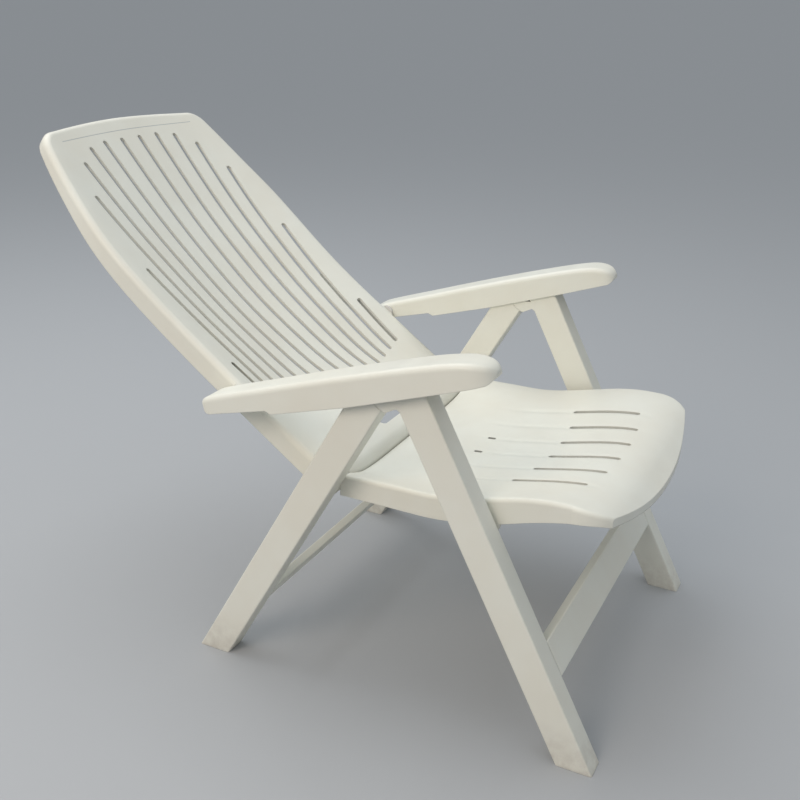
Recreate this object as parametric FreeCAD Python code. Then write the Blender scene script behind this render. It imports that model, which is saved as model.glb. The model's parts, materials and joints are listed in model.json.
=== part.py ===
import FreeCAD, Part
import math
import os

# A folding garden chair of moulded plastic: a tall slatted back, a dished seat, two pairs of legs
# and two arms. It stands in its deepest recline. Lengths are millimetres, angles are degrees.
# The sitter faces -Y, +Z is up and X runs across. Points of a side view are (y, z), and y = 0 is
# at the leg pivot until the finished chair is centred over its footprint.

V = FreeCAD.Vector

# Legs
leg_pivot_height = 512.0
legs_outer_width = 575.0
leg_thickness = 37.0
leg_width = 47.5
leg_wall = 4.0
leg_edge_past_pivot = 3.5
front_leg_lean = 28.2
rear_leg_lean = 29.1
leg_head_rise = 20.0
leg_web_radius = 36.0
leg_web_rise = -14.0
leg_web_drop = 27.0
leg_web_gap = 0.4
leg_crotch_round = 5.0
leg_fork_cheek = 11.0
leg_edge_round = 2.5
leg_head_round = 8.0
leg_foot_block = 30.0
leg_pillar_wall = 6.0

# Pivots, measured along each leg from the leg pivot and from its inner edge
back_pivot_along = 225.8
back_pivot_inset = 18.6
seat_peg_along = 230.0
seat_peg_inset = leg_width / 2
seat_pin_ahead = 21.0
seat_pin_rise = 18.0
seat_datum_ahead = 23.0
seat_datum_rise = 14.0
arm_pivot_along = 190.6

# Stretchers, placed along the legs
front_stretcher_along = 438.0
front_stretcher_width = 56.0
front_stretcher_thickness = 17.0
rear_stretcher_along = 453.0
rear_stretcher_width = 24.0
rear_stretcher_thickness = 14.0
tenon_depth = 12.0
tenon_shoulder = 4.0

# Back panel: s runs up the back from its pivot, n stands on its face
back_slope = 37.0
back_wall = 5.0
back_rail_depth = 34.8
back_top_depth = 20.0
back_rise = 730.0
back_corner_rise = 708.0
back_half_width = 241.0
back_shoulder_half = 243.5
back_corner_half = 199.0
back_corner_round = 24.0
back_rim_round = 9.0
back_dish_power = 2.4
back_tail_power = 8.0
back_rim_flat = 14.0
rail_width = 28.0
rail_inner_length = 330.0
hinge_arch_radius = 24.5
hinge_arch_wall = 5.5
window_width = 120.0
window_height = 34.0
window_rise = 17.0

# Slots of the back
slot_width = 9.5
slot_pitch = 36.0
slot_crowding = 0.018
slot_foot = 112.0
slot_foot_lift = 24.0
slot_fan_low = 0.93
slot_fan_gain = 0.34
slot_fan_power = 1.3
slot_fan_start = 100.0
slot_tops = (682.0, 681.0, 672.0, 645.0, 582.0, 437.0, 236.0)

# Seat panel: s runs forward from a datum near the seat hinge, n is up
seat_half_width = 240.0
seat_wall = 4.5
seat_length = 425.0
seat_corner_length = 398.0
seat_corner_half = 222.0
seat_corner_round = 26.0
seat_rear_start = -3.0
seat_tail_start = 4.0
seat_tail_half = 214.0
seat_dish_power = 2.2
seat_tail_power = 7.0
seat_rim_flat = 8.0
seat_rim_round = 6.0
seat_slot_pitch = 59.0
seat_slot_width = 8.5
seat_slot_pairs = 3
seat_slot_bow = 8.0
front_slot_start = 250.0
front_slot_end = 352.0
drain_place = 130.0
drain_width = 6.5
drain_length = 13.0
saddle_width = 40.0
saddle_height = 34.0

# Arms: u runs forward from the arm pivot, v stands on the arm
arm_tilt = 16.3
arm_inner = 246.0
arm_outer_rear = 299.0
arm_reach = 438.0
arm_rear_round = 15.0
arm_rear_overhang = 32.0
arm_bottom_mid = -20.0
arm_bottom_front = -9.5
arm_step_along = 88.0
arm_step = 6.0
arm_wall = 3.4
arm_roof = 4.0
arm_solid_end = 15.0
arm_front_end = 422.0

# Sections of the arm: u, inner side, outer side, top, rounding of the top edges
arm_sections = (
    (0.5 - arm_rear_overhang, 254, 291, 3.5, 3),
    (-29.8, 251, 294, 7.5, 5),
    (-27, 248, 297, 10.5, 6.5),
    (-21, 246.4, 298.7, 13, 7.5),
    (-10, arm_inner, 299.3, 14.5, 8),
    (arm_solid_end, arm_inner, 300, 16, 8),
    (60, arm_inner, 301.5, 17.8, 8),
    (130, arm_inner, 303.5, 20.8, 8),
    (220, arm_inner, 305.5, 24.2, 8),
    (300, arm_inner, 306.8, 26, 8),
    (345, arm_inner, 307.2, 26.3, 8),
    (385, 249, 307.2, 25.3, 8),
    (408, 250.8, 305.6, 22.5, 8),
    (arm_front_end, 252.6, 301.5, 18, 8),
    (431, 256, 295, 12.5, 7),
    (435.5, 261, 288, 7.5, 6),
    (arm_reach - 0.5, 266, 282, 3, 4),
)

# Recline catch
recline_range = 38.0
recline_places = 5
roller_radius = 8.0
roller_length = 7.0
rack_gap = 1.8
rack_clearance = 0.7
notch_depth = 7.0
rack_end_margin = 16.0

# Pins, pegs and fits
pin_radius = 5.0
pin_head_radius = 8.0
pin_head = 3.0
clip_radius = 7.5
clip_thickness = 2.0
spacer_radius = 12.0
seat_pin_radius = 3.0
seat_pin_collar = 5.5
seat_pin_grip = 18.0
seat_boss_radius = 5.8
seat_boss_width = 14.0
peg_radius = 8.0
peg_shank_radius = 6.0
peg_length = 22.0
peg_shank = 22.0
pin_clearance = 0.05
side_clearance = 0.3
lap_clearance = 0.25

far = 900.0

# Values that follow from the driving sizes
leg_outer = legs_outer_width / 2
leg_inner = leg_outer - leg_thickness
leg_lap_radius = leg_web_radius + leg_web_gap
tongue_low = leg_inner + leg_fork_cheek + lap_clearance
tongue_high = leg_outer - leg_fork_cheek - lap_clearance
rail_inner = back_half_width - rail_width
arm_pin_start = back_half_width - back_rim_flat
leg_pivot = (0.0, leg_pivot_height)


def turn(point, angle):
    a = math.radians(angle)
    c, s = math.cos(a), math.sin(a)
    return (point[0] * c - point[1] * s, point[0] * s + point[1] * c)


def shifted(point, step):
    return (point[0] + step[0], point[1] + step[1])


def on_leg(lean, forward, along, across):
    # along runs down the leg from the leg pivot, across is positive towards the other leg
    a = math.radians(lean)
    y = forward * (across * math.cos(a) - along * math.sin(a))
    return (y, leg_pivot_height - along * math.cos(a) - across * math.sin(a))


def on_front_leg(along, inset):
    return on_leg(front_leg_lean, 1, along, leg_edge_past_pivot - inset)


def on_rear_leg(along, inset):
    return on_leg(rear_leg_lean, -1, along, leg_edge_past_pivot - inset)


back_pivot = on_rear_leg(back_pivot_along, back_pivot_inset)
seat_peg = on_front_leg(seat_peg_along, seat_peg_inset)
seat_pin = shifted(back_pivot, (-seat_pin_ahead, seat_pin_rise))
seat_datum = shifted(back_pivot, (-seat_datum_ahead, seat_datum_rise))
arm_pivot = shifted(back_pivot, turn((arm_pivot_along, 0), back_slope))


def side_prism(points, x_low, x_high):
    corners = [V(x_low, y, z) for y, z in points]
    face = Part.Face(Part.makePolygon(corners + corners[:1]))
    return face.extrude(V(x_high - x_low, 0, 0))


def rod(centre, radius, x_low, x_high):
    return Part.makeCylinder(radius, x_high - x_low, V(x_low, centre[0], centre[1]), V(1, 0, 0))


def mirrored(shape):
    return shape.mirror(V(0, 0, 0), V(1, 0, 0))


def curve_at(points, s):
    # height of a smooth curve through (s, height) points
    i = min(sum(1 for p in points[1:-1] if p[0] <= s), len(points) - 2)
    slopes = []
    for k in (i, i + 1):
        low, high = points[max(k - 1, 0)], points[min(k + 1, len(points) - 1)]
        slopes.append((high[1] - low[1]) / (high[0] - low[0]))
    (s0, h0), (s1, h1) = points[i], points[i + 1]
    span = s1 - s0
    t = (s - s0) / span
    start = h0 * (1 + 2 * t) * (1 - t) ** 2 + slopes[0] * span * t * (1 - t) ** 2
    end = h1 * t ** 2 * (3 - 2 * t) + slopes[1] * span * t ** 2 * (t - 1)
    return start + end


# Legs

def leg_strip(lean, forward, cap_slope):
    low, high = leg_edge_past_pivot - leg_width, leg_edge_past_pivot
    corners = [on_leg(lean, forward, s, t) for s, t in ((-far, low), (-far, high), (far, high), (far, low))]
    strip = side_prism(corners, leg_inner, leg_outer)
    cap = leg_pivot_height + leg_head_rise
    drop = far * math.tan(math.radians(cap_slope))
    room = side_prism([(-far, 0), (far, 0), (far, cap - drop), (-far, cap + drop)], leg_inner, leg_outer)
    strip = strip.common(room)
    top = [e for e in strip.Edges if abs(e.tangentAt(0).x) > 0.9 and e.CenterOfMass.z > leg_pivot_height / 2]
    strip = strip.makeFillet(leg_head_round, top)
    rim = [e for e in strip.Edges if e.BoundBox.XLength < 0.01 and e.BoundBox.ZMax > 0.01]
    return strip.makeFillet(leg_edge_round, rim)


def leg_core(lean, forward, bores):
    # hollow of a leg, with a pillar left standing around each bore
    floor = leg_pivot_height / math.cos(math.radians(lean))
    start, end = leg_lap_radius + leg_wall, floor - leg_foot_block
    low, high = leg_edge_past_pivot - leg_width + leg_wall, leg_edge_past_pivot - leg_wall
    corners = [on_leg(lean, forward, s, t) for s, t in ((start, low), (start, high), (end, high), (end, low))]
    room = side_prism(corners, leg_inner + leg_wall, leg_outer - leg_wall)
    return room.cut([rod(centre, radius + leg_pillar_wall, 0, far) for centre, radius in bores])


def stretcher_bar(lean, forward, along, width, low, x_reach, thickness, shrink):
    s0, s1 = along - width / 2 + shrink, along + width / 2 - shrink
    t0, t1 = low + shrink, low + thickness - shrink
    corners = [on_leg(lean, forward, s, t) for s, t in ((s0, t0), (s0, t1), (s1, t1), (s1, t0))]
    return side_prism(corners, -x_reach, x_reach)


def front_bar(x_reach, shrink):
    low = leg_edge_past_pivot - leg_width
    return stretcher_bar(front_leg_lean, 1, front_stretcher_along, front_stretcher_width, low, x_reach,
                         front_stretcher_thickness, shrink)


def rear_bar(x_reach, shrink):
    low = leg_edge_past_pivot - rear_stretcher_thickness
    return stretcher_bar(rear_leg_lean, -1, rear_stretcher_along, rear_stretcher_width, low, x_reach,
                         rear_stretcher_thickness, shrink)


def stretcher(bar):
    body = bar(leg_inner - side_clearance, 0)
    return body.fuse(bar(leg_inner + tenon_depth, tenon_shoulder)).removeSplitter()


def tenon_socket(bar):
    return bar(leg_inner + tenon_depth + side_clearance, tenon_shoulder - side_clearance)


def front_web():
    # fills the angle under the leg pivot, flush with both sides of the front leg
    disc = rod(leg_pivot, leg_web_radius, leg_inner, leg_outer)
    level = leg_pivot_height + leg_web_rise
    disc = disc.common(side_prism([(-far, 0), (far, 0), (far, level), (-far, level)], 0, far))
    below = [on_leg(front_leg_lean, 1, s, t) for s, t in ((-far, -far), (-far, far), (leg_web_drop, far),
                                                         (leg_web_drop, -far))]
    disc = disc.common(side_prism(below, 0, far))
    r, edge = leg_crotch_round, leg_edge_past_pivot
    lean = r * (1 - math.sqrt(0.5))
    places = [(leg_web_drop, edge - r / 2), (leg_web_drop, edge + r), (leg_web_drop + lean, edge + lean),
              (leg_web_drop + r, edge), (leg_web_drop + r, edge - r / 2)]
    a, b, c, d, e = [V(leg_inner, *on_leg(front_leg_lean, 1, s, t)) for s, t in places]
    edges = [Part.makeLine(a, b), Part.Arc(b, c, d).toShape(), Part.makeLine(d, e), Part.makeLine(e, a)]
    return disc.fuse(Part.Face(Part.Wire(edges)).extrude(V(leg_thickness, 0, 0)))


def front_leg():
    leg = leg_strip(front_leg_lean, 1, 0).fuse(front_web())
    leg = leg.cut(rod(leg_pivot, leg_lap_radius, tongue_low - lap_clearance, tongue_high + lap_clearance))
    leg = leg.cut(leg_core(front_leg_lean, 1, [(seat_peg, peg_shank_radius)]))
    leg = leg.cut(rod(leg_pivot, pin_radius + pin_clearance, 0, far))
    leg = leg.cut(rod(leg_pivot, pin_head_radius + side_clearance, 0, leg_inner + pin_head + side_clearance))
    leg = leg.cut(rod(seat_peg, peg_shank_radius + pin_clearance, 0, leg_inner + peg_shank + side_clearance))
    return leg.cut(tenon_socket(front_bar)).removeSplitter()


def rear_leg():
    leg = leg_strip(rear_leg_lean, -1, arm_tilt)
    leg = leg.cut([rod(leg_pivot, leg_lap_radius, 0, tongue_low),
                   rod(leg_pivot, leg_lap_radius, tongue_high, far)])
    leg = leg.fuse(rod(leg_pivot, leg_head_rise - 2, tongue_low, tongue_high))
    leg = leg.cut(leg_core(rear_leg_lean, -1, [(back_pivot, pin_radius), (seat_pin, seat_pin_radius)]))
    leg = leg.cut(rod(leg_pivot, pin_radius + pin_clearance, 0, far))
    leg = leg.cut(rod(back_pivot, pin_radius + pin_clearance, 0, leg_outer - leg_wall))
    grip = leg_inner + seat_pin_grip + side_clearance
    leg = leg.cut(rod(seat_pin, seat_pin_radius + pin_clearance, 0, grip))
    return leg.cut(tenon_socket(rear_bar)).removeSplitter()


# Dished panels: s runs along Y and n along Z until a panel is put in its place

def panel_height(panel, s, x):
    rim, middle = curve_at(panel["rim"], s), curve_at(panel["middle"], s)
    share = min(abs(x) / (curve_at(panel["half"], s) - panel["flat"]), 1)
    return middle + (rim - middle) * share ** curve_at(panel["power"], s)


def panel_layer(panel, upper, lower):
    # the body between two depths below the panel's face, wider than the panel
    wires = []
    for s in panel["stations"]:
        reach = curve_at(panel["half"], s) + 12
        across = [reach * k / 8 for k in range(-8, 9)]
        sink = lower if lower else curve_at(panel["depth"], s)
        rows = [[V(x, s, panel_height(panel, s, x) - d) for x in across] for d in (upper, sink)]
        top, bottom = Part.BSplineCurve(), Part.BSplineCurve()
        top.interpolate(rows[0])
        bottom.interpolate(rows[1])
        ends = [Part.makeLine(rows[0][k], rows[1][k]) for k in (-1, 0)]
        wires.append(Part.Wire([top.toShape(), ends[0], bottom.toShape(), ends[1]]))
    return Part.makeLoft(wires, True, False)


def upright(edges):
    face = Part.Face(Part.Wire(edges))
    face.translate(V(0, 0, -far / 2))
    return face.extrude(V(0, 0, far))


def spline(points):
    curve = Part.BSplineCurve()
    curve.interpolate(points)
    return curve.toShape()


def rounded_rim(panel, solid):
    rim = []
    for edge in solid.Edges:
        middle = edge.valueAt((edge.FirstParameter + edge.LastParameter) / 2)
        on_face = abs(middle.z - panel_height(panel, middle.y, middle.x)) < panel["wall"] / 2
        if on_face and middle.y > panel["rim_start"]:
            rim.append(edge)
    return solid.makeFillet(panel["round"], rim)


def panel_shell(panel, outline):
    solid = rounded_rim(panel, panel_layer(panel, 0, None).common(outline(0)))
    return solid.cut(panel_layer(panel, panel["wall"], far / 4).common(outline(panel["wall"])))


def slot(low, middle, high, width):
    # a slot with round ends along an arc through three (x, s) points
    h = width / 2
    sides = [[V(x + side * h, s, 0) for x, s in (low, middle, high)] for side in (-1, 1)]
    caps = [V(low[0], low[1] - h, 0), V(high[0], high[1] + h, 0)]
    edges = [Part.Arc(*sides[0]).toShape(), Part.Arc(sides[0][2], caps[1], sides[1][2]).toShape(),
             Part.Arc(*sides[1]).toShape(), Part.Arc(sides[1][0], caps[0], sides[0][0]).toShape()]
    return upright(edges)


def round_hole(x, s, width, length):
    # an oblong hole with rounded corners, centred on (x, s)
    body = Part.makeBox(width, length, far, V(x - width / 2, s - length / 2, -far / 2))
    corners = [edge for edge in body.Edges if abs(edge.tangentAt(0).z) > 0.9]
    return body.makeFillet(min(width, length) / 3, corners)


# Back

back_curve = {
    "rim": ((-20, 16.5), (110, 11), (335, 6), (560, 21), (760, 48)),
    "middle": ((-20, hinge_arch_radius), (0, hinge_arch_radius), (40, 16), (150, -18), (290, -31), (400, -27),
               (540, -8), (760, 41)),
    "half": ((-20, back_half_width), (345, back_half_width), (440, back_shoulder_half), (520, 240),
             (590, 228), (650, 215), (back_corner_rise, back_corner_half), (760, 176)),
    "depth": ((-20, back_rail_depth), (420, back_rail_depth), (back_rise, back_top_depth),
              (760, back_top_depth)),
    "power": ((-20, back_tail_power), (0, back_tail_power), (180, back_dish_power), (760, back_dish_power)),
    "flat": back_rim_flat,
    "wall": back_wall,
    "round": back_rim_round,
    "rim_start": 10,
    "stations": (-20, 0, 30, 60, 100, 150, 240, 330, 420, 510, 590, 650, 700, 760),
}


def back_corner(inset, below):
    # a bend that leaves the side and meets the crown without a kink
    corner = V(back_corner_half - inset, back_corner_rise - inset, 0)
    up_side = (corner - below).normalize()
    crown_lean = 2 * math.atan((back_rise - back_corner_rise) / back_corner_half)
    along_crown = V(-math.cos(crown_lean), math.sin(crown_lean), 0)
    start, end = corner - up_side * back_corner_round, corner + along_crown * back_corner_round
    depth = back_corner_round * math.tan(up_side.getAngle(along_crown) / 4)
    knee = corner + (along_crown - up_side).normalize() * depth
    return Part.Arc(start, knee, end).toShape(), start, end


def back_outline(inset):
    side = [V(curve_at(back_curve["half"], s) - inset, s, 0) for s in (0, 180, 345, 440, 520, 590, 650)]
    bend, start, end = back_corner(inset, side[-1])
    right = [spline(side + [start]), bend]
    crown = Part.Arc(end, V(0, back_rise - inset, 0), V(-end.x, end.y, 0)).toShape()
    left = [mirrored(edge) for edge in right[::-1]]
    foot = Part.makeLine(V(-side[0].x, 0, 0), side[0])
    return upright([foot] + right + [crown] + left)


def slot_place(base, s):
    rise = max(s - slot_fan_start, 0) / (slot_tops[0] - slot_fan_start)
    return (base * (slot_fan_low + slot_fan_gain * rise ** slot_fan_power), s)


def back_slots():
    count = len(slot_tops)
    bases = [slot_pitch * (k + 0.5) * (1 - slot_crowding * (k + 0.5)) for k in range(count)]
    cuts = []
    for base, top in zip(bases, slot_tops):
        foot = slot_foot + slot_foot_lift * (base / bases[-1]) ** 2
        places = [slot_place(base, s) for s in (foot, (foot + top) / 2, top)]
        cut = slot(*places, slot_width)
        cuts += [cut, mirrored(cut)]
    return cuts


def on_back(shape):
    shape.rotate(V(0, 0, 0), V(1, 0, 0), back_slope)
    shape.translate(V(0, back_pivot[0], back_pivot[1]))
    return shape


def hinge_arch():
    # round tail of the back over its pivot, open below
    arch = rod(back_pivot, hinge_arch_radius, -rail_inner, rail_inner)
    arch = arch.cut(rod(back_pivot, hinge_arch_radius - hinge_arch_wall, -far, far))
    level = back_pivot[1] - hinge_arch_radius / 3
    return arch.cut(side_prism([(-far, -far), (far, -far), (far, level), (-far, level)], -far, far))


def rail_inner_walls(layer):
    wall = Part.makeBox(back_wall, rail_inner_length, far, V(rail_inner, 0, -far / 2))
    return layer.common(wall.fuse(mirrored(wall)))


def arm_socket(layer):
    # thickens the rail around the arm pin, without rising above the face of the back
    boss = Part.makeCylinder(spacer_radius + 2, rail_width, V(rail_inner, arm_pivot_along, 0), V(1, 0, 0))
    boss = boss.common(layer)
    return boss.fuse(mirrored(boss))


def back_panel():
    shell = panel_shell(back_curve, back_outline)
    layer = panel_layer(back_curve, back_wall / 2, None)
    shell = shell.fuse([rail_inner_walls(layer), arm_socket(layer)])
    shell = shell.cut(Part.makeCompound(back_slots()))
    end = rod(back_pivot, back_rail_depth / 2, rail_inner, back_half_width)
    window = on_back(round_hole(0, window_rise + window_height / 2, window_width, window_height))
    back = on_back(shell).fuse([hinge_arch(), end, mirrored(end)]).cut(window)
    bores = [rod(back_pivot, pin_radius + pin_clearance, rail_inner - 1, far),
             rod(arm_pivot, pin_radius + pin_clearance, arm_pin_start - side_clearance, far)]
    return back.cut(bores + [mirrored(bore) for bore in bores]).removeSplitter()


# Seat

seat_curve = {
    "rim": ((-20, 10), (81, 9), (157, 11), (225, 25), (274, 37), (326, 43.5), (360, 42), (405, 28),
            (445, 7)),
    "middle": ((-20, -16), (0, -15), (70, -11), (128, -11), (235, 5), (330, 26), (370, 27.5),
               (seat_length, 9), (445, -1)),
    "half": ((-20, seat_half_width), (445, seat_half_width)),
    "depth": ((-20, 35), (154, 37), (245, 40), (307, 33), (345, 26), (386, 16), (seat_length, 10),
              (445, 10)),
    "power": ((-20, seat_tail_power), (0, seat_tail_power), (110, seat_dish_power), (445, seat_dish_power)),
    "flat": seat_rim_flat,
    "wall": seat_wall,
    "round": seat_rim_round,
    "rim_start": 25,
    "stations": (-20, 10, 40, 70, 100, 150, 200, 240, 280, 320, 360, 400, 445),
}


def seat_outline(inset):
    half, tail = seat_half_width - inset, seat_tail_half - inset
    front, corner = seat_length - inset, seat_corner_length - inset
    rear = seat_tail_start + inset
    points = [V(tail, rear, 0), V(half, seat_rear_start + inset, 0),
              V(half, corner - seat_corner_round * 2, 0)]
    nose = V(seat_corner_half - inset, corner, 0)
    bend = V(half - seat_corner_round / 8, corner - seat_corner_round * 0.75, 0)
    right = [Part.makeLine(points[0], points[1]), Part.makeLine(points[1], points[2]),
             Part.Arc(points[2], bend, nose).toShape()]
    left = [mirrored(edge) for edge in right]
    crown = Part.Arc(nose, V(0, front, 0), V(-nose.x, nose.y, 0)).toShape()
    tail_line = Part.makeLine(V(-tail, rear, 0), V(tail, rear, 0))
    return upright([tail_line] + right + [crown] + left[::-1])


def seat_slots():
    cuts = []
    for k in range(seat_slot_pairs):
        x = seat_slot_pitch * (k + 0.5)
        back_set = seat_slot_bow * (k * k) / 2
        start, end = front_slot_start - back_set, front_slot_end - back_set
        cut = slot((x, start), (x + seat_slot_bow / 8, (start + end) / 2), (x, end), seat_slot_width)
        cuts += [cut, mirrored(cut)]
    return cuts


def seat_drains():
    # two short holes in the hollow of the seat, in line with its middle slots
    hole = round_hole(seat_slot_pitch / 2, drain_place, drain_width, drain_length)
    return [hole, mirrored(hole)]


def on_seat(shape):
    shape.rotate(V(0, 0, 0), V(0, 0, 1), 180)
    shape.translate(V(0, seat_datum[0], seat_datum[1]))
    return shape


def seat_bosses():
    # round ends of the side flanges, on the seat pins
    boss = rod(seat_pin, seat_boss_radius, seat_half_width - seat_boss_width, seat_half_width)
    return [boss, mirrored(boss)]


def peg_saddles():
    y, z = seat_peg
    low, high, top = y - saddle_width / 2, y + saddle_width / 2, z + saddle_height
    block = side_prism([(low, z), (high, z), (high, top), (low, top)], seat_half_width - 2 * seat_wall,
                       seat_half_width)
    return [block, mirrored(block)]


def seat_panel():
    holes = Part.makeCompound(seat_slots() + seat_drains())
    seat = on_seat(panel_shell(seat_curve, seat_outline).cut(holes))
    seat = seat.fuse(seat_bosses() + peg_saddles())
    bores = [rod(seat_peg, peg_radius + side_clearance, -far, far),
             rod(seat_pin, seat_pin_radius + pin_clearance, -far, far)]
    return seat.cut(bores).removeSplitter()


# Arms: built with u along -Y and v along Z, about the arm pivot, then tilted into place

def above_arm_belly():
    # all that lies above the underside of the arm
    rear, r = -arm_rear_overhang + arm_rear_round, arm_rear_round
    rise = r / 5
    lean = r * math.sqrt(0.5)
    low, heel = (rear, rise - r), (rear - r, rise)
    nose, nose_low = (arm_reach, 2), (arm_reach - 16, arm_bottom_front)
    mid = (arm_reach / 2, arm_bottom_mid + 1)
    belly, step = (arm_step_along + 4, arm_bottom_mid), (arm_step_along - 4, arm_bottom_mid + arm_step)

    def at(p):
        return V(0, -p[0], p[1])

    def arc(a, b, c):
        return Part.Arc(at(a), at(b), at(c)).toShape()

    def path(*points):
        return [Part.makeLine(at(a), at(b)) for a, b in zip(points, points[1:])]

    edges = [arc(low, (rear - lean, rise - lean), heel)]
    edges += path(heel, (heel[0] - r, rise), (heel[0] - r, far), (arm_reach + r, far), (arm_reach + r, 2),
                  nose)
    edges.append(arc(nose, (arm_reach - 4, arm_bottom_front + 4), nose_low))
    edges += path(nose_low, mid, belly, step, low)
    return Part.Face(Part.Wire(edges)).extrude(V(far, 0, 0))


def arm_loft(sections, side, roof):
    # a body with rounded top edges through the sections, thinned by the walls around a channel
    wires = []
    for u, inner, outer, top, rounding in sections:
        a, b, v, r = inner + side, outer - side, top - roof, rounding - side
        q = r * (1 - math.sqrt(0.5))
        floor = -far / 8
        spots = [(a, floor), (a, v - r), (a + q, v - q), (a + r, v), (b - r, v), (b - q, v - q), (b, v - r),
                 (b, floor)]
        p = [V(x, -u, z) for x, z in spots]
        wires.append(Part.Wire([Part.makeLine(p[0], p[1]), Part.Arc(p[1], p[2], p[3]).toShape(),
                                Part.makeLine(p[3], p[4]), Part.Arc(p[4], p[5], p[6]).toShape(),
                                Part.makeLine(p[6], p[7]), Part.makeLine(p[7], p[0])]))
    return Part.makeLoft(wires, True, False)


def arm_room():
    # the channel under the arm, open below
    inside = [row for row in arm_sections if arm_solid_end <= row[0] <= arm_front_end]
    return arm_loft(inside, arm_wall, arm_roof)


def roller_place(recline):
    # where the catch roller lies in the arm when the back is raised by this angle
    raised = shifted(back_pivot, turn(shifted(arm_pivot, (-back_pivot[0], -back_pivot[1])), recline))
    offset = turn(shifted(leg_pivot, (-raised[0], -raised[1])), -recline * (1 + arm_ratio))
    y, z = turn(offset, arm_tilt)
    return (-y, z)


def level_ratio():
    # turn of the arm on the back for each degree of recline, so that the arm ends on the roller again
    low, high = -1.2, -0.2
    start = shifted(leg_pivot, (-arm_pivot[0], -arm_pivot[1]))
    raised = shifted(back_pivot, turn(shifted(arm_pivot, (-back_pivot[0], -back_pivot[1])), recline_range))
    end = shifted(leg_pivot, (-raised[0], -raised[1]))
    for _ in range(60):
        ratio = (low + high) / 2
        turned = turn(turn(end, -recline_range * (1 + ratio)), arm_tilt)
        if turned[1] > turn(start, arm_tilt)[1]:
            high = ratio
        else:
            low = ratio
    return ratio


arm_ratio = level_ratio()


def arm_rack():
    places = [roller_place(recline_range * k / (recline_places - 1)) for k in range(recline_places)]
    tips = max(v for _, v in places) + roller_radius + rack_clearance
    front, rear = places[0][0] + rack_end_margin, places[-1][0] - rack_end_margin
    x_low, x_high = leg_outer + rack_gap, arm_outer_rear
    rack = side_prism([(-rear, tips), (-front, tips), (-front, far / 4), (-rear, far / 4)], x_low, x_high)
    notch = roller_radius + rack_clearance
    for u, _ in places:
        rack = rack.cut(rod((-u, tips + notch_depth - notch), notch, 0, far))
    return rack


def arm():
    solid = arm_loft(arm_sections, 0, 0).common(above_arm_belly())
    shell = solid.cut(arm_room()).fuse(arm_rack().common(solid)).removeSplitter()
    shell = shell.cut(rod((0, 0), pin_radius + pin_clearance, 0, arm_outer_rear - 3 * arm_roof))
    shell.rotate(V(0, 0, 0), V(1, 0, 0), -arm_tilt)
    shell.translate(V(0, arm_pivot[0], arm_pivot[1]))
    return shell


# Pins and small pieces, made for the +X side

def headed_pin(centre, radius, head_x, end_x, head_radius):
    pin = rod(centre, radius, head_x, end_x)
    return pin.fuse(rod(centre, head_radius, head_x, head_x + pin_head)).removeSplitter()


def ring(centre, inner, outer, x_low, x_high):
    return rod(centre, outer, x_low, x_high).cut(rod(centre, inner + pin_clearance, x_low - 1, x_high + 1))


roller_low = leg_outer + side_clearance * 2
clip_low = roller_low + roller_length + side_clearance


def seat_hinge_pin():
    pin = rod(seat_pin, seat_pin_radius, seat_half_width - seat_boss_width, leg_inner + seat_pin_grip)
    collar = rod(seat_pin, seat_pin_collar, seat_half_width + side_clearance, leg_inner - side_clearance)
    return pin.fuse(collar).removeSplitter()


def seat_peg_piece():
    head = rod(seat_peg, peg_radius, leg_inner - peg_length, leg_inner - side_clearance)
    return head.fuse(rod(seat_peg, peg_shank_radius, leg_inner - 1, leg_inner + peg_shank)).removeSplitter()


def pair(name, shape):
    return {name + "_left": shape, name + "_right": mirrored(shape)}


def build():
    pieces = {"back_panel": back_panel(), "seat_panel": seat_panel()}
    pieces.update(pair("front_leg", front_leg()))
    pieces.update(pair("rear_leg", rear_leg()))
    pieces["front_stretcher"] = stretcher(front_bar)
    pieces["rear_stretcher"] = stretcher(rear_bar)
    pieces.update(pair("armrest", arm()))
    leg_pin = headed_pin(leg_pivot, pin_radius, leg_inner, clip_low + clip_thickness, pin_head_radius)
    pieces.update(pair("leg_pivot_pin", leg_pin))
    roller = ring(leg_pivot, pin_radius, roller_radius, roller_low, roller_low + roller_length)
    pieces.update(pair("catch_roller", roller))
    clip = ring(leg_pivot, pin_radius, clip_radius, clip_low, clip_low + clip_thickness)
    pieces["pivot_clips"] = Part.makeCompound([clip, mirrored(clip)])
    head_x = rail_inner - pin_head - side_clearance
    pin_end = leg_outer - leg_wall - side_clearance
    back_pin = headed_pin(back_pivot, pin_radius, head_x, pin_end, pin_head_radius)
    pieces.update(pair("back_pivot_pin", back_pin))
    rail_side = back_half_width + side_clearance
    hinge_spacer = ring(back_pivot, pin_radius, spacer_radius, rail_side, leg_inner - side_clearance)
    pieces.update(pair("hinge_spacer", hinge_spacer))
    pieces.update(pair("seat_hinge_pin", seat_hinge_pin()))
    arm_pin_end = arm_outer_rear - 3 * arm_roof - side_clearance
    pieces.update(pair("arm_pivot_pin", rod(arm_pivot, pin_radius, arm_pin_start, arm_pin_end)))
    arm_spacer = ring(arm_pivot, pin_radius, spacer_radius, rail_side, arm_inner - 2 * side_clearance)
    pieces.update(pair("arm_spacer", arm_spacer))
    pieces.update(pair("seat_peg", seat_peg_piece()))
    return pieces


pieces = build()
box = Part.makeCompound(list(pieces.values())).optimalBoundingBox(False, False)
centre_y = (box.YMin + box.YMax) / 2
os.makedirs("parts", exist_ok=True)
for name, shape in pieces.items():
    shape.translate(V(0, -centre_y, 0))
    shape.exportStep("parts/" + name + ".step")

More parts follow.
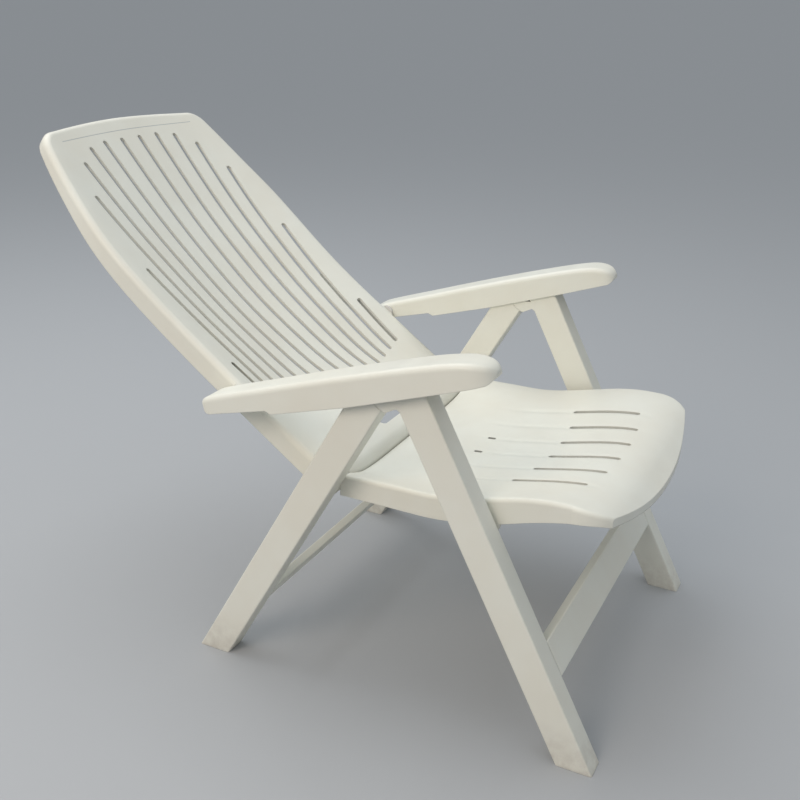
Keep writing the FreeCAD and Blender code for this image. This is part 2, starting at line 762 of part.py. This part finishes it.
print("overall", [round(v, 1) for v in (box.XLength, box.YLength, box.ZLength)])
print("arm turn per degree of recline", round(arm_ratio, 4))
for name, point in (("leg", leg_pivot), ("back", back_pivot), ("seat", seat_pin), ("arm", arm_pivot),
                    ("peg", seat_peg)):
    print("pivot", name, round(point[0] - centre_y, 3), round(point[1], 3))
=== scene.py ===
import json
import math

import bmesh
import bpy
from mathutils import Matrix, Vector


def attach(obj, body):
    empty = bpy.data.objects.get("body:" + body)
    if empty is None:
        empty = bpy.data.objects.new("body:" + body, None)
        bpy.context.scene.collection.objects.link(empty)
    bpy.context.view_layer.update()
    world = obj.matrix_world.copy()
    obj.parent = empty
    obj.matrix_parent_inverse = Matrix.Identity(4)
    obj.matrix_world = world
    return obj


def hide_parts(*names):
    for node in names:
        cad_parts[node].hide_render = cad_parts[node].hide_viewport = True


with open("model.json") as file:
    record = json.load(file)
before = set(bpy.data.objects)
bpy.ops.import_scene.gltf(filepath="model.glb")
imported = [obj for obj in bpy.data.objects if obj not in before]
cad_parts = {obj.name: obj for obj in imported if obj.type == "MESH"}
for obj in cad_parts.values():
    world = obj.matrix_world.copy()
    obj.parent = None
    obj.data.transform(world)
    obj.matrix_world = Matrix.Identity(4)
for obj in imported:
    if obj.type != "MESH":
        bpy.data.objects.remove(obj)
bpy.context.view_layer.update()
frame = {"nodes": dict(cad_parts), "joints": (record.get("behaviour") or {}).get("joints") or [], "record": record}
print("frame loaded,", len(frame["nodes"]), "nodes")

# camera: place in metres, angles in degrees, focal length and sensor in millimetres
photoCamera = {
    "place": (-1.4279, -0.74725, 1.0077),
    "azimuth": -64.34,
    "elevation": 21.86,
    "roll": 1.71,
    "lens": 46.37,
    "sensor": 36,
}


def addObject(name, data):
    thing = bpy.data.objects.new(name, data)
    bpy.context.scene.collection.objects.link(thing)
    return thing


def makeCamera(spec):
    az, el = math.radians(spec["azimuth"]), math.radians(spec["elevation"])
    forward = Vector((-math.sin(az) * math.cos(el), math.cos(az) * math.cos(el), -math.sin(el)))
    right = forward.cross(Vector((0, 0, 1))).normalized()
    up = right.cross(forward)
    roll = math.radians(spec["roll"])
    x = right * math.cos(roll) + up * math.sin(roll)
    y = up * math.cos(roll) - right * math.sin(roll)
    data = bpy.data.cameras.new("photoCamera")
    data.sensor_width = spec["sensor"]
    data.lens = spec["lens"]
    camera = addObject("photoCamera", data)
    turn = Matrix((x, y, -forward)).transposed()
    camera.matrix_world = Matrix.Translation(spec["place"]) @ turn.to_4x4()
    bpy.context.scene.camera = camera


makeCamera(photoCamera)
bpy.context.scene.view_settings.view_transform = "Standard"


# node helpers: a value is a number, a colour or another node's socket
def addNode(tree, kind, **values):
    node = tree.nodes.new(kind)
    for name, value in values.items():
        if isinstance(value, bpy.types.NodeSocket):
            tree.links.new(value, node.inputs[name])
        elif name in node.inputs:
            node.inputs[name].default_value = value
        else:
            setattr(node, name, value)
    return node


def maths(tree, operation, a, b=0.0):
    node = addNode(tree, "ShaderNodeMath", operation=operation)
    for k, value in enumerate((a, b)):
        if isinstance(value, bpy.types.NodeSocket):
            tree.links.new(value, node.inputs[k])
        else:
            node.inputs[k].default_value = value
    return node.outputs[0]


def remap(tree, value, start, end, low=0.0, high=1.0, blend="LINEAR"):
    node = addNode(tree, "ShaderNodeMapRange", Value=value, interpolation_type=blend)
    for name, number in (("From Min", start), ("From Max", end), ("To Min", low), ("To Max", high)):
        node.inputs[name].default_value = number
    return node.outputs["Result"]


def ramp(tree, value, start, end):
    return remap(tree, value, start, end, blend="SMOOTHSTEP")


def mixColour(tree, factor, a, b):
    mix = addNode(tree, "ShaderNodeMix", data_type="RGBA")
    for name, value in (("Factor", factor), ("A", a), ("B", b)):
        socket = [s for s in mix.inputs if s.name == name and s.enabled][0]
        if isinstance(value, bpy.types.NodeSocket):
            tree.links.new(value, socket)
        else:
            socket.default_value = (*value, 1)
    return [s for s in mix.outputs if s.enabled][0]


# the middle band of the noise is spread out, so that the clouds have contrast
cloudBand = {"low": 0.35, "high": 0.65, "roughness": 0.6}


def clouds(tree, place, scale, detail, low=0.0, high=1.0):
    noise = addNode(tree, "ShaderNodeTexNoise", Vector=place, Scale=scale, Detail=detail,
                    Roughness=cloudBand["roughness"])
    return remap(tree, noise.outputs["Fac"], cloudBand["low"], cloudBand["high"], low, high)


def newMaterial(name):
    material = bpy.data.materials.new(name)
    material.use_nodes = True
    return material, material.node_tree, material.node_tree.nodes["Principled BSDF"]


# floor and light: places and sizes in metres, power in watts
studio = {
    "floorSize": 3000,
    "floorColour": (0.43, 0.44, 0.45),
    "floorRoughness": 0.8,
    "hazeColour": (0.245, 0.257, 0.268),  # what shows past the floor's edge
    "worldColour": (0.90, 0.95, 1.0),
    "worldStrength": (0.22, 0.72),  # at the horizon and overhead
    "overheadFrom": 0.7,  # height on the sky's unit sphere
    "aim": (0, -0.1, 0.4),
    "lamps": {
        "keyLamp": {"place": (-3.0, 0.5, 2.3), "size": 1.8, "power": 46, "colour": (1.0, 0.875, 0.76)},
        "topLamp": {"place": (0.3, 1.1, 3.0), "size": 2.4, "power": 38, "colour": (0.94, 0.97, 1.0)},
    },
}


def makeFloor(spec):
    bm = bmesh.new()
    bmesh.ops.create_grid(bm, x_segments=1, y_segments=1, size=spec["floorSize"] / 2)
    mesh = bpy.data.meshes.new("studioFloor")
    bm.to_mesh(mesh)
    bm.free()
    material, _, shader = newMaterial("paleFloor")
    shader.inputs["Base Color"].default_value = (*spec["floorColour"], 1)
    shader.inputs["Roughness"].default_value = spec["floorRoughness"]
    mesh.materials.append(material)
    addObject("studioFloor", mesh)


def makeSky(spec):
    world = bpy.data.worlds.new("studioSky")
    world.use_nodes = True
    tree = world.node_tree
    place = addNode(tree, "ShaderNodeTexCoord").outputs["Generated"]
    height = addNode(tree, "ShaderNodeSeparateXYZ", Vector=place).outputs["Z"]
    level = remap(tree, height, 0.0, spec["overheadFrom"], *spec["worldStrength"])
    sky = tree.nodes["Background"]
    sky.inputs["Color"].default_value = (*spec["worldColour"], 1)
    tree.links.new(level, sky.inputs["Strength"])
    haze = addNode(tree, "ShaderNodeBackground", Color=(*spec["hazeColour"], 1), Strength=1.0)
    ray = addNode(tree, "ShaderNodeLightPath").outputs
    mirrored = maths(tree, "MAXIMUM", ray["Is Glossy Ray"], ray["Is Transmission Ray"])
    seen = maths(tree, "MAXIMUM", ray["Is Camera Ray"], mirrored)
    mix = addNode(tree, "ShaderNodeMixShader", Fac=seen)
    tree.links.new(sky.outputs[0], mix.inputs[1])
    tree.links.new(haze.outputs[0], mix.inputs[2])
    tree.links.new(mix.outputs[0], tree.nodes["World Output"].inputs["Surface"])
    bpy.context.scene.world = world


def areaLamp(name, spec, aim):
    data = bpy.data.lights.new(name, "AREA")
    data.size, data.energy, data.color = spec["size"], spec["power"], spec["colour"]
    lamp = addObject(name, data)
    lamp.location = spec["place"]
    lamp.rotation_euler = (Vector(aim) - lamp.location).to_track_quat("-Z", "Y").to_euler()


makeFloor(studio)
makeSky(studio)
for name, spec in studio["lamps"].items():
    areaLamp(name, spec, studio["aim"])
print("studio ready")

# moulded plastic: pale resin with a fine grain, faint flow clouds, dust near the feet and painted shade in the
# slots and crevices
mouldedResin = {
    "clean": (0.80, 0.795, 0.71),
    "aged": (0.775, 0.755, 0.66),
    "dust": (0.56, 0.52, 0.45),
    # colour of the painted shade in slots and crevices
    "shadeTint": (0.20, 0.19, 0.165),
    "cloudScale": 7.0,
    "grainScale": 1500.0,
    "grainHeight": 0.00006,
    "waveScale": 26.0,
    "waveHeight": 0.00035,
    "roughLow": 0.34,
    "roughHigh": 0.48,
    "dustTop": 0.07,
    "edgeRadius": 0.0018,
    # reach of the painted crevice shade, in metres
    "shadeReach": 0.020,
}

# rollers, spacers and pegs: a harder, greyer plastic with a finer grain
hardResin = {
    "clean": (0.70, 0.69, 0.66),
    "aged": (0.62, 0.60, 0.56),
    "dust": (0.5, 0.47, 0.42),
    # colour of the painted shade in slots and crevices
    "shadeTint": (0.25, 0.23, 0.20),
    "cloudScale": 60.0,
    "grainScale": 2600.0,
    "grainHeight": 0.00004,
    "waveScale": 300.0,
    "waveHeight": 0.0001,
    "roughLow": 0.42,
    "roughHigh": 0.58,
    "dustTop": 0.02,
    "edgeRadius": 0.0006,
    # reach of the painted crevice shade, in metres
    "shadeReach": 0.004,
}

# what both plastics share
resinCoat = {
    "cloudDetail": 3,
    "dustMost": 0.75,
    "speckScale": 60,
    "speckDetail": 4,
    "speckLow": 0.2,
    "roughScale": 40,
    "roughDetail": 5,
    "waveDetail": 1.0,
    "waveStrength": 0.5,
    "grainDetail": 2.0,
    "grainStrength": 0.6,
    "specular": 0.45,
    "openAt": 0.84,  # share of open space where the painted shade starts
    "shutAt": 0.46,  # and where the painted shade is darkest
    "shadeMost": 0.9,
    "shadeSamples": 8,
    "edgeSamples": 6,
}

# painted shade line standing for a fine groove across the head of the back: rise is along the back from its pivot,
# in metres
backPivot = [joint["pos_m"] for joint in frame["joints"] if joint["name"] == "back_recline"][0]
backGroove = {
    "slope": 37.0,
    "rise": 0.7010,
    "droop": 0.42,
    "width": 0.0007,
    "reach": 0.165,
    "strength": 0.75,
    # colour of the painted groove shade
    "colour": (0.40, 0.42, 0.42),
}


def grooveShadeMask(tree, x, y, z, spec):
    slope = math.radians(spec["slope"])
    run = maths(tree, "MULTIPLY", maths(tree, "SUBTRACT", y, backPivot[1]), math.cos(slope))
    climb = maths(tree, "MULTIPLY", maths(tree, "SUBTRACT", z, backPivot[2]), math.sin(slope))
    bow = maths(tree, "MULTIPLY", maths(tree, "MULTIPLY", x, x), spec["droop"])
    along = maths(tree, "ADD", maths(tree, "ADD", run, climb), bow)
    away = maths(tree, "ABSOLUTE", maths(tree, "SUBTRACT", along, spec["rise"]))
    thin = maths(tree, "LESS_THAN", away, spec["width"])
    inside = maths(tree, "LESS_THAN", maths(tree, "ABSOLUTE", x), spec["reach"])
    return maths(tree, "MULTIPLY", maths(tree, "MULTIPLY", thin, inside), spec["strength"])


# shallow flutes that run back from the slots of the seat and fade out, in metres
seatFlutes = {
    "pitch": 0.059,
    "halfWidth": 0.011,
    "depth": 0.0012,
    "reach": 0.17,
    "rear": -0.17,
    "front": -0.26,
    "nose": -0.46,
    "noseFade": 0.05,
}


def fluteDepth(tree, x, y, spec):
    turn = maths(tree, "FRACT", maths(tree, "DIVIDE", x, spec["pitch"]))
    away = maths(tree, "MULTIPLY", maths(tree, "ABSOLUTE", maths(tree, "SUBTRACT", turn, 0.5)), spec["pitch"])
    wall = ramp(tree, away, spec["halfWidth"], 0.0)
    inside = maths(tree, "LESS_THAN", maths(tree, "ABSOLUTE", x), spec["reach"])
    length = maths(tree, "MULTIPLY", ramp(tree, y, spec["rear"], spec["front"]),
                   ramp(tree, y, spec["nose"], spec["nose"] + spec["noseFade"]))
    depth = maths(tree, "MULTIPLY", wall, maths(tree, "MULTIPLY", inside, length))
    return maths(tree, "MULTIPLY", depth, -1.0)


def paintedCreviceShade(tree, spec):
    # painted shade: the colour darkens where a piece hems itself in, as in slots, standing for the shade there
    hollow = addNode(tree, "ShaderNodeAmbientOcclusion", samples=resinCoat["shadeSamples"], only_local=True,
                     Distance=spec["shadeReach"])
    return remap(tree, hollow.outputs["AO"], resinCoat["openAt"], resinCoat["shutAt"],
                 high=resinCoat["shadeMost"], blend="SMOOTHSTEP")


def resinColour(tree, place, axes, spec, groove):
    age = clouds(tree, place, spec["cloudScale"], resinCoat["cloudDetail"])
    colour = mixColour(tree, age, spec["clean"], spec["aged"])
    fall = remap(tree, axes["Z"], 0.0, spec["dustTop"], resinCoat["dustMost"], 0.0)
    speck = clouds(tree, place, resinCoat["speckScale"], resinCoat["speckDetail"], low=resinCoat["speckLow"])
    colour = mixColour(tree, maths(tree, "MULTIPLY", fall, speck), colour, spec["dust"])
    # painted shade in slots and crevices, driven by occlusion
    colour = mixColour(tree, paintedCreviceShade(tree, spec), colour, spec["shadeTint"])
    if groove:
        # painted shade line where the groove would cast its shade
        line = grooveShadeMask(tree, axes["X"], axes["Y"], axes["Z"], groove)
        colour = mixColour(tree, line, colour, groove["colour"])
    return colour


def bumped(tree, height, distance, strength, normal):
    node = addNode(tree, "ShaderNodeBump", Height=height, Distance=distance, Strength=strength, Normal=normal)
    return node.outputs["Normal"]


def resinNormal(tree, place, axes, spec, flutes):
    # softened edges first, then slow waves, flutes and the grain
    edge = addNode(tree, "ShaderNodeBevel", samples=resinCoat["edgeSamples"], Radius=spec["edgeRadius"])
    wave = addNode(tree, "ShaderNodeTexNoise", Vector=place, Scale=spec["waveScale"],
                   Detail=resinCoat["waveDetail"])
    normal = bumped(tree, wave.outputs["Fac"], spec["waveHeight"], resinCoat["waveStrength"],
                    edge.outputs["Normal"])
    if flutes:
        normal = bumped(tree, fluteDepth(tree, axes["X"], axes["Y"], flutes), flutes["depth"], 1.0, normal)
    grain = addNode(tree, "ShaderNodeTexNoise", Vector=place, Scale=spec["grainScale"],
                    Detail=resinCoat["grainDetail"])
    return bumped(tree, grain.outputs["Fac"], spec["grainHeight"], resinCoat["grainStrength"], normal)


def resinMaterial(name, spec, groove=None, flutes=None):
    material, tree, shader = newMaterial(name)
    place = addNode(tree, "ShaderNodeTexCoord").outputs["Object"]
    axes = addNode(tree, "ShaderNodeSeparateXYZ", Vector=place).outputs
    rough = clouds(tree, place, resinCoat["roughScale"], resinCoat["roughDetail"], spec["roughLow"],
                   spec["roughHigh"])
    tree.links.new(resinColour(tree, place, axes, spec, groove), shader.inputs["Base Color"])
    tree.links.new(rough, shader.inputs["Roughness"])
    tree.links.new(resinNormal(tree, place, axes, spec, flutes), shader.inputs["Normal"])
    shader.inputs["Specular IOR Level"].default_value = resinCoat["specular"]
    return material


# plain steel for the pins and clips, drawn along X
pinSteel = {
    "base": (0.56, 0.56, 0.57),
    "stain": (0.40, 0.38, 0.36),
    "drawn": (40, 1600, 1600),
    "streakDetail": 3,
    "roughDetail": 2,
    "roughLow": 0.24,
    "roughHigh": 0.42,
}


def steelMaterial(name, spec):
    material, tree, shader = newMaterial(name)
    place = addNode(tree, "ShaderNodeTexCoord").outputs["Object"]
    drawn = addNode(tree, "ShaderNodeMapping", Vector=place, Scale=spec["drawn"]).outputs["Vector"]
    streak = clouds(tree, drawn, 1.0, spec["streakDetail"])
    tree.links.new(mixColour(tree, streak, spec["base"], spec["stain"]), shader.inputs["Base Color"])
    rough = clouds(tree, drawn, 1.0, spec["roughDetail"], spec["roughLow"], spec["roughHigh"])
    tree.links.new(rough, shader.inputs["Roughness"])
    shader.inputs["Metallic"].default_value = 1.0
    return material


chairResin = resinMaterial("chairResin", mouldedResin)
slotFinish = {
    "resin": chairResin,
    "steel": steelMaterial("drawnSteel", pinSteel),
    "bearing_resin": resinMaterial("bearingResin", hardResin),
}
ownFinish = {
    "back_panel": resinMaterial("backResin", mouldedResin, groove=backGroove),
    "seat_panel": resinMaterial("seatResin", mouldedResin, flutes=seatFlutes),
}
for row in frame["record"]["subparts"]:
    finishes = frame["nodes"][row["node"]].data.materials
    finishes.clear()
    finishes.append(ownFinish.get(row["node"], slotFinish[row["material_slot"]]))
print("finishes ready")

# the rungs with rounded edges stand for the plain bars: lengths in metres, angles in degrees
rungs = {
    "front_stretcher": {"piece": "frontRung", "body": "front_frame", "edge": 0.0022},
    "rear_stretcher": {"piece": "rearRung", "body": "rear_frame", "edge": 0.0022},
}
rungMesh = {"merge": 0.00001, "flatWithin": 0.5, "sharpFrom": 38, "segments": 2, "profile": 0.5}


def mergedCopy(node, name):
    bm = bmesh.new()
    bm.from_mesh(frame["nodes"][node].data)
    bmesh.ops.remove_doubles(bm, verts=bm.verts, dist=rungMesh["merge"])
    flat = math.radians(rungMesh["flatWithin"])
    bmesh.ops.dissolve_limit(bm, angle_limit=flat, verts=bm.verts, edges=bm.edges)
    for face in bm.faces:
        face.smooth = True
        face.material_index = 0
    mesh = bpy.data.meshes.new(name)
    bm.to_mesh(mesh)
    bm.free()
    if "custom_normal" in mesh.attributes:
        mesh.attributes.remove(mesh.attributes["custom_normal"])
    return mesh


def roundedRung(node, spec):
    mesh = mergedCopy(node, spec["piece"])
    mesh.materials.append(chairResin)
    piece = addObject(spec["piece"], mesh)
    edge = piece.modifiers.new("softEdge", "BEVEL")
    edge.width, edge.segments, edge.profile = spec["edge"], rungMesh["segments"], rungMesh["profile"]
    edge.limit_method, edge.angle_limit = "ANGLE", math.radians(rungMesh["sharpFrom"])
    edge.harden_normals = True
    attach(piece, spec["body"])
    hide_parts(node)
    return piece


for node, spec in rungs.items():
    piece = roundedRung(node, spec)
    print("rung", spec["piece"], len(piece.data.polygons), "faces")
